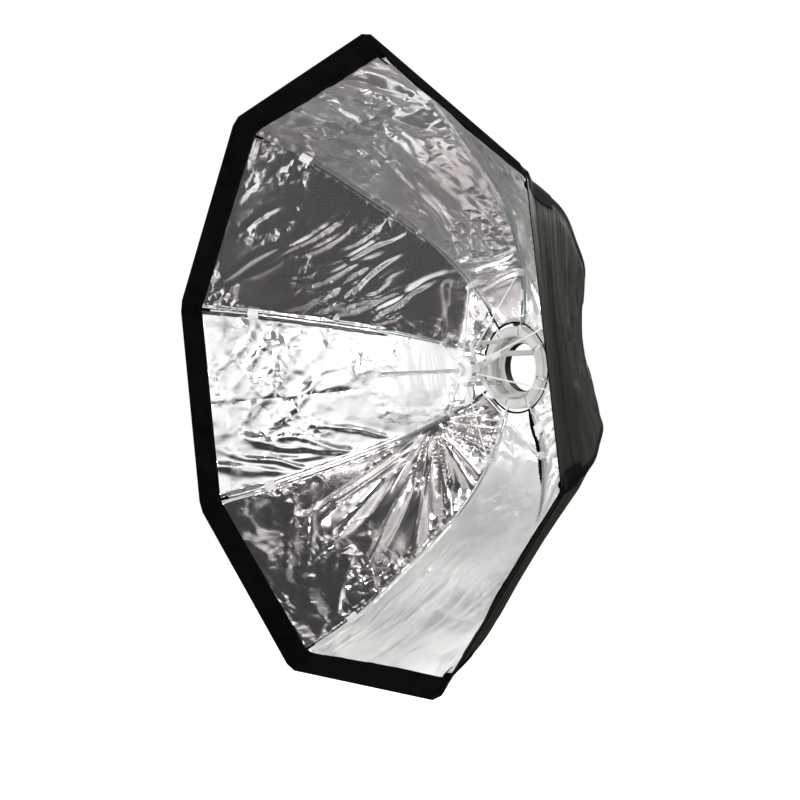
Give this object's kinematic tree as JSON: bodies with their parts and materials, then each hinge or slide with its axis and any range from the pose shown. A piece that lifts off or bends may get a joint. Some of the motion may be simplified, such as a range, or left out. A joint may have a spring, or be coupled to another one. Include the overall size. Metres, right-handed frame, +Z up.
{
  "type": "octabox",
  "caption": "Umbrella-style octagonal softbox: black canopy with a silver lining on hinged ribs, struts and a sliding runner, on a turning ring with a bayonet insert.",
  "frame": {"origin": "centre of the bayonet insert's bore, in the plane of the seat that rests on the flash", "axes": "+Z up, -Y out of the open front, +Y towards the flash; the octagon has flats at the top and bottom"},
  "size_m": [1.0652, 0.4977, 1.0652],
  "materials": {
    "bayonet_insert": "satin warm grey paint on a cast part, with a black bore",
    "retaining_ring": "satin black",
    "fasteners": "zinc plated steel",
    "hinge_ring": "satin warm light grey paint",
    "hub_arm": "satin light grey paint",
    "shaft": "polished steel",
    "small_plastic": "moulded plastic",
    "runner": "moulded light grey plastic",
    "lock_thumbscrew": "moulded black grip",
    "rib_rod": "drawn spring steel",
    "rib_fittings": "white plated brackets, cloth ties and caps",
    "strut": "white coated wire rod",
    "canopy_cloth": "black nylon outside, crinkled silver liner inside"
  },
  "bodies": {
    "bayonet_insert": {"bayonet_insert": "bayonet_insert", "seat_flange": "bayonet_insert", "retaining_ring": "retaining_ring", "retaining_screws": "fasteners"},
    "hinge_ring": {"hinge_ring": "hinge_ring", "hinge_pins": "fasteners", "hub_arm_2": "hub_arm", "hub_arm_4": "hub_arm", "hub_arm_6": "hub_arm", "hub_arm_8": "hub_arm", "arm_screws": "fasteners", "centre_boss": "hub_arm", "runner_shaft": "shaft", "shaft_end_stop": "small_plastic"},
    "lock_thumbscrew": {"lock_thumbscrew": "lock_thumbscrew"},
    "runner": {"runner": "runner"},
    "release_button": {"release_button": "small_plastic"},
    "rib_1": {"rib_1_rod": "rib_rod", "rib_1_fittings": "rib_fittings"},
    "strut_1": {"strut_1": "strut"},
    "rib_2": {"rib_2_rod": "rib_rod", "rib_2_fittings": "rib_fittings"},
    "strut_2": {"strut_2": "strut"},
    "rib_3": {"rib_3_rod": "rib_rod", "rib_3_fittings": "rib_fittings"},
    "strut_3": {"strut_3": "strut"},
    "rib_4": {"rib_4_rod": "rib_rod", "rib_4_fittings": "rib_fittings"},
    "strut_4": {"strut_4": "strut"},
    "rib_5": {"rib_5_rod": "rib_rod", "rib_5_fittings": "rib_fittings"},
    "strut_5": {"strut_5": "strut"},
    "rib_6": {"rib_6_rod": "rib_rod", "rib_6_fittings": "rib_fittings"},
    "strut_6": {"strut_6": "strut"},
    "rib_7": {"rib_7_rod": "rib_rod", "rib_7_fittings": "rib_fittings"},
    "strut_7": {"strut_7": "strut"},
    "rib_8": {"rib_8_rod": "rib_rod", "rib_8_fittings": "rib_fittings"},
    "strut_8": {"strut_8": "strut"},
    "canopy_1_a": {"canopy_1_a": "canopy_cloth"},
    "canopy_1_b": {"canopy_1_b": "canopy_cloth"},
    "canopy_2_a": {"canopy_2_a": "canopy_cloth"},
    "canopy_2_b": {"canopy_2_b": "canopy_cloth"},
    "canopy_3_a": {"canopy_3_a": "canopy_cloth"},
    "canopy_3_b": {"canopy_3_b": "canopy_cloth"},
    "canopy_4_a": {"canopy_4_a": "canopy_cloth"},
    "canopy_4_b": {"canopy_4_b": "canopy_cloth"},
    "canopy_5_a": {"canopy_5_a": "canopy_cloth"},
    "canopy_5_b": {"canopy_5_b": "canopy_cloth"},
    "canopy_6_a": {"canopy_6_a": "canopy_cloth"},
    "canopy_6_b": {"canopy_6_b": "canopy_cloth"},
    "canopy_7_a": {"canopy_7_a": "canopy_cloth"},
    "canopy_7_b": {"canopy_7_b": "canopy_cloth"},
    "canopy_8_a": {"canopy_8_a": "canopy_cloth"},
    "canopy_8_b": {"canopy_8_b": "canopy_cloth"}
  },
  "joints": [
    {"name": "ring_turn", "type": "hinge", "parent": "bayonet_insert", "child": "hinge_ring", "pos_m": [0, 0, 0], "axis": [0, 1, 0], "continuous": true},
    {"name": "lock_turn", "type": "hinge", "parent": "hinge_ring", "child": "lock_thumbscrew", "pos_m": [0, -0.0085, 0.09], "axis": [0, 0, 1], "range_deg": [0, 540]},
    {"name": "fold", "type": "slide", "parent": "hinge_ring", "child": "runner", "axis": [0, -1, 0], "range_m": [0, 0.15036]},
    {"name": "release_press", "type": "slide", "parent": "runner", "child": "release_button", "axis": [0, 0, -1], "range_m": [0, 0.0018], "stiffness_N_per_m": 900, "springref_m": -0.0006},
    {"name": "rib_1_hinge", "type": "hinge", "parent": "hinge_ring", "child": "rib_1", "pos_m": [0.02751, -0.027, 0.06643], "axis": [0.9239, 0, -0.3827], "range_deg": [0, 49]},
    {"name": "strut_1_hinge", "type": "hinge", "parent": "rib_1", "child": "strut_1", "pos_m": [0.07393, -0.0615, 0.17849], "axis": [0.9239, 0, -0.3827], "range_deg": [-78.91, 0]},
    {"name": "rib_2_hinge", "type": "hinge", "parent": "hinge_ring", "child": "rib_2", "pos_m": [-0.02751, -0.027, 0.06643], "axis": [0.9239, 0, 0.3827], "range_deg": [0, 49]},
    {"name": "strut_2_hinge", "type": "hinge", "parent": "rib_2", "child": "strut_2", "pos_m": [-0.07393, -0.0615, 0.17849], "axis": [0.9239, 0, 0.3827], "range_deg": [-78.91, 0]},
    {"name": "rib_3_hinge", "type": "hinge", "parent": "hinge_ring", "child": "rib_3", "pos_m": [-0.06643, -0.027, 0.02751], "axis": [0.3827, 0, 0.9239], "range_deg": [0, 49]},
    {"name": "strut_3_hinge", "type": "hinge", "parent": "rib_3", "child": "strut_3", "pos_m": [-0.17849, -0.0615, 0.07393], "axis": [0.3827, 0, 0.9239], "range_deg": [-78.91, 0]},
    {"name": "rib_4_hinge", "type": "hinge", "parent": "hinge_ring", "child": "rib_4", "pos_m": [-0.06643, -0.027, -0.02751], "axis": [-0.3827, 0, 0.9239], "range_deg": [0, 49]},
    {"name": "strut_4_hinge", "type": "hinge", "parent": "rib_4", "child": "strut_4", "pos_m": [-0.17849, -0.0615, -0.07393], "axis": [-0.3827, 0, 0.9239], "range_deg": [-78.91, 0]},
    {"name": "rib_5_hinge", "type": "hinge", "parent": "hinge_ring", "child": "rib_5", "pos_m": [-0.02751, -0.027, -0.06643], "axis": [-0.9239, 0, 0.3827], "range_deg": [0, 49]},
    {"name": "strut_5_hinge", "type": "hinge", "parent": "rib_5", "child": "strut_5", "pos_m": [-0.07393, -0.0615, -0.17849], "axis": [-0.9239, 0, 0.3827], "range_deg": [-78.91, 0]},
    {"name": "rib_6_hinge", "type": "hinge", "parent": "hinge_ring", "child": "rib_6", "pos_m": [0.02751, -0.027, -0.06643], "axis": [-0.9239, 0, -0.3827], "range_deg": [0, 49]},
    {"name": "strut_6_hinge", "type": "hinge", "parent": "rib_6", "child": "strut_6", "pos_m": [0.07393, -0.0615, -0.17849], "axis": [-0.9239, 0, -0.3827], "range_deg": [-78.91, 0]},
    {"name": "rib_7_hinge", "type": "hinge", "parent": "hinge_ring", "child": "rib_7", "pos_m": [0.06643, -0.027, -0.02751], "axis": [-0.3827, 0, -0.9239], "range_deg": [0, 49]},
    {"name": "strut_7_hinge", "type": "hinge", "parent": "rib_7", "child": "strut_7", "pos_m": [0.17849, -0.0615, -0.07393], "axis": [-0.3827, 0, -0.9239], "range_deg": [-78.91, 0]},
    {"name": "rib_8_hinge", "type": "hinge", "parent": "hinge_ring", "child": "rib_8", "pos_m": [0.06643, -0.027, 0.02751], "axis": [0.3827, 0, -0.9239], "range_deg": [0, 49]},
    {"name": "strut_8_hinge", "type": "hinge", "parent": "rib_8", "child": "strut_8", "pos_m": [0.17849, -0.0615, 0.07393], "axis": [0.3827, 0, -0.9239], "range_deg": [-78.91, 0]},
    {"name": "canopy_1_a_pleat", "type": "hinge", "parent": "rib_1", "child": "canopy_1_a", "pos_m": [0.02751, -0.027, 0.06643], "axis": [-0.4436, 0.2809, 0.851], "range_deg": [0, 20.4], "deforming": ["canopy_1_a"]},
    {"name": "canopy_1_b_pleat", "type": "hinge", "parent": "rib_2", "child": "canopy_1_b", "pos_m": [-0.02751, -0.027, 0.06643], "axis": [-0.4436, -0.2809, -0.851], "range_deg": [0, 20.4], "deforming": ["canopy_1_b"]},
    {"name": "canopy_2_a_pleat", "type": "hinge", "parent": "rib_2", "child": "canopy_2_a", "pos_m": [-0.02751, -0.027, 0.06643], "axis": [-0.9155, 0.2809, 0.2881], "range_deg": [0, 20.4], "deforming": ["canopy_2_a"]},
    {"name": "canopy_2_b_pleat", "type": "hinge", "parent": "rib_3", "child": "canopy_2_b", "pos_m": [-0.06643, -0.027, 0.02751], "axis": [0.2881, -0.2809, -0.9155], "range_deg": [0, 20.4], "deforming": ["canopy_2_b"]},
    {"name": "canopy_3_a_pleat", "type": "hinge", "parent": "rib_3", "child": "canopy_3_a", "pos_m": [-0.06643, -0.027, 0.02751], "axis": [-0.851, 0.2809, -0.4436], "range_deg": [0, 20.4], "deforming": ["canopy_3_a"]},
    {"name": "canopy_3_b_pleat", "type": "hinge", "parent": "rib_4", "child": "canopy_3_b", "pos_m": [-0.06643, -0.027, -0.02751], "axis": [0.851, -0.2809, -0.4436], "range_deg": [0, 20.4], "deforming": ["canopy_3_b"]},
    {"name": "canopy_4_a_pleat", "type": "hinge", "parent": "rib_4", "child": "canopy_4_a", "pos_m": [-0.06643, -0.027, -0.02751], "axis": [-0.2881, 0.2809, -0.9155], "range_deg": [0, 20.4], "deforming": ["canopy_4_a"]},
    {"name": "canopy_4_b_pleat", "type": "hinge", "parent": "rib_5", "child": "canopy_4_b", "pos_m": [-0.02751, -0.027, -0.06643], "axis": [0.9155, -0.2809, 0.2881], "range_deg": [0, 20.4], "deforming": ["canopy_4_b"]},
    {"name": "canopy_5_a_pleat", "type": "hinge", "parent": "rib_5", "child": "canopy_5_a", "pos_m": [-0.02751, -0.027, -0.06643], "axis": [0.4436, 0.2809, -0.851], "range_deg": [0, 20.4], "deforming": ["canopy_5_a"]},
    {"name": "canopy_5_b_pleat", "type": "hinge", "parent": "rib_6", "child": "canopy_5_b", "pos_m": [0.02751, -0.027, -0.06643], "axis": [0.4436, -0.2809, 0.851], "range_deg": [0, 20.4], "deforming": ["canopy_5_b"]},
    {"name": "canopy_6_a_pleat", "type": "hinge", "parent": "rib_6", "child": "canopy_6_a", "pos_m": [0.02751, -0.027, -0.06643], "axis": [0.9155, 0.2809, -0.2881], "range_deg": [0, 20.4], "deforming": ["canopy_6_a"]},
    {"name": "canopy_6_b_pleat", "type": "hinge", "parent": "rib_7", "child": "canopy_6_b", "pos_m": [0.06643, -0.027, -0.02751], "axis": [-0.2881, -0.2809, 0.9155], "range_deg": [0, 20.4], "deforming": ["canopy_6_b"]},
    {"name": "canopy_7_a_pleat", "type": "hinge", "parent": "rib_7", "child": "canopy_7_a", "pos_m": [0.06643, -0.027, -0.02751], "axis": [0.851, 0.2809, 0.4436], "range_deg": [0, 20.4], "deforming": ["canopy_7_a"]},
    {"name": "canopy_7_b_pleat", "type": "hinge", "parent": "rib_8", "child": "canopy_7_b", "pos_m": [0.06643, -0.027, 0.02751], "axis": [-0.851, -0.2809, 0.4436], "range_deg": [0, 20.4], "deforming": ["canopy_7_b"]},
    {"name": "canopy_8_a_pleat", "type": "hinge", "parent": "rib_8", "child": "canopy_8_a", "pos_m": [0.06643, -0.027, 0.02751], "axis": [0.2881, 0.2809, 0.9155], "range_deg": [0, 20.4], "deforming": ["canopy_8_a"]},
    {"name": "canopy_8_b_pleat", "type": "hinge", "parent": "rib_1", "child": "canopy_8_b", "pos_m": [0.02751, -0.027, 0.06643], "axis": [-0.9155, -0.2809, -0.2881], "range_deg": [0, 20.4], "deforming": ["canopy_8_b"]}
  ],
  "couplings": [
    {"joint": "rib_1_hinge", "follows": "fold", "rad_per_m": 5.6877},
    {"joint": "strut_1_hinge", "follows": "fold", "rad_per_m": -9.1594},
    {"joint": "rib_2_hinge", "follows": "fold", "rad_per_m": 5.6877},
    {"joint": "strut_2_hinge", "follows": "fold", "rad_per_m": -9.1594},
    {"joint": "rib_3_hinge", "follows": "fold", "rad_per_m": 5.6877},
    {"joint": "strut_3_hinge", "follows": "fold", "rad_per_m": -9.1594},
    {"joint": "rib_4_hinge", "follows": "fold", "rad_per_m": 5.6877},
    {"joint": "strut_4_hinge", "follows": "fold", "rad_per_m": -9.1594},
    {"joint": "rib_5_hinge", "follows": "fold", "rad_per_m": 5.6877},
    {"joint": "strut_5_hinge", "follows": "fold", "rad_per_m": -9.1594},
    {"joint": "rib_6_hinge", "follows": "fold", "rad_per_m": 5.6877},
    {"joint": "strut_6_hinge", "follows": "fold", "rad_per_m": -9.1594},
    {"joint": "rib_7_hinge", "follows": "fold", "rad_per_m": 5.6877},
    {"joint": "strut_7_hinge", "follows": "fold", "rad_per_m": -9.1594},
    {"joint": "rib_8_hinge", "follows": "fold", "rad_per_m": 5.6877},
    {"joint": "strut_8_hinge", "follows": "fold", "rad_per_m": -9.1594},
    {"joint": "canopy_1_a_pleat", "follows": "fold", "rad_per_m": 2.3678},
    {"joint": "canopy_1_b_pleat", "follows": "fold", "rad_per_m": 2.3678},
    {"joint": "canopy_2_a_pleat", "follows": "fold", "rad_per_m": 2.3678},
    {"joint": "canopy_2_b_pleat", "follows": "fold", "rad_per_m": 2.3678},
    {"joint": "canopy_3_a_pleat", "follows": "fold", "rad_per_m": 2.3678},
    {"joint": "canopy_3_b_pleat", "follows": "fold", "rad_per_m": 2.3678},
    {"joint": "canopy_4_a_pleat", "follows": "fold", "rad_per_m": 2.3678},
    {"joint": "canopy_4_b_pleat", "follows": "fold", "rad_per_m": 2.3678},
    {"joint": "canopy_5_a_pleat", "follows": "fold", "rad_per_m": 2.3678},
    {"joint": "canopy_5_b_pleat", "follows": "fold", "rad_per_m": 2.3678},
    {"joint": "canopy_6_a_pleat", "follows": "fold", "rad_per_m": 2.3678},
    {"joint": "canopy_6_b_pleat", "follows": "fold", "rad_per_m": 2.3678},
    {"joint": "canopy_7_a_pleat", "follows": "fold", "rad_per_m": 2.3678},
    {"joint": "canopy_7_b_pleat", "follows": "fold", "rad_per_m": 2.3678},
    {"joint": "canopy_8_a_pleat", "follows": "fold", "rad_per_m": 2.3678},
    {"joint": "canopy_8_b_pleat", "follows": "fold", "rad_per_m": 2.3678}
  ]
}
